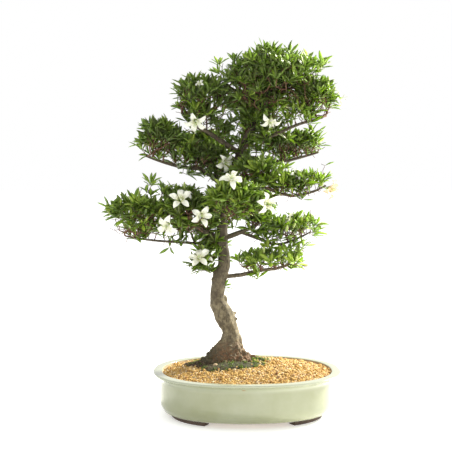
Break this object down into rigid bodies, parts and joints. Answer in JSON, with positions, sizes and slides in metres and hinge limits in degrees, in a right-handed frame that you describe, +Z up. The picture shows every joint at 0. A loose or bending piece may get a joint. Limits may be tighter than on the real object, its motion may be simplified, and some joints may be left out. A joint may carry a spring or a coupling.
{
  "type": "bonsai tree in a pot",
  "caption": "Flowering azalea bonsai with a bent trunk and layered foliage pads, planted in gravel in a low oval glazed pot on strip feet.",
  "frame": {"origin": "middle of the whole object's footprint, on the surface the feet stand on", "axes": "+Z up the tree, +X along the pot's length to the viewer's right, +Y to the back of the tree"},
  "size_m": [0.4274, 0.281, 0.6685],
  "materials": {
    "glaze": "gloss",
    "clay": "matte",
    "screen_plastic": "matte",
    "wire": "satin",
    "gravel": "matte",
    "stone": "matte",
    "moss": "matte",
    "bark": "matte",
    "foliage": "satin",
    "petal": "satin"
  },
  "bodies": {
    "root": {"pot_body": "glaze", "pot_foot_front_left": "clay", "pot_foot_front_right": "clay", "pot_foot_back_left": "clay", "pot_foot_back_right": "clay", "drain_screen_left": "screen_plastic", "drain_screen_right": "screen_plastic", "screen_clip_left": "wire", "screen_clip_right": "wire", "soil_bed": "gravel", "pale_stone": "stone", "moss_front": "moss", "moss_right": "moss", "moss_back": "moss", "trunk": "bark", "branch_low_right": "bark", "branch_low_left": "bark", "branch_left_lower": "bark", "branch_left_main": "bark", "branch_right_thick": "bark", "branch_right_long": "bark", "branch_front_mid": "bark", "branch_back_low": "bark", "branch_mid_left": "bark", "branch_mid_right_lower": "bark", "branch_back_mid": "bark", "branch_mid_right_upper": "bark", "branch_upper_left": "bark", "branch_upper_right": "bark", "branch_back_upper": "bark", "branch_apex_left": "bark", "branch_apex_right": "bark", "foliage_low_right": "foliage", "foliage_low_left": "foliage", "foliage_left_outer": "foliage", "foliage_left_inner": "foliage", "foliage_front": "foliage", "foliage_right_outer": "foliage", "foliage_right_inner": "foliage", "foliage_back_low": "foliage", "foliage_mid_left": "foliage", "foliage_mid_left_inner": "foliage", "foliage_mid_right": "foliage", "foliage_centre": "foliage", "foliage_back_mid": "foliage", "foliage_upper_right": "foliage", "foliage_upper_left": "foliage", "foliage_back_upper": "foliage", "foliage_apex_right": "foliage", "foliage_apex": "foliage", "flower_apex": "petal", "flower_upper_left": "petal", "flower_hanging": "petal", "flower_left_high": "petal", "flower_left_low": "petal", "flower_left_pale": "petal", "flower_front_high": "petal", "flower_front_right": "petal", "flower_low_left": "petal", "flower_mid_right": "petal"}
  },
  "joints": []
}
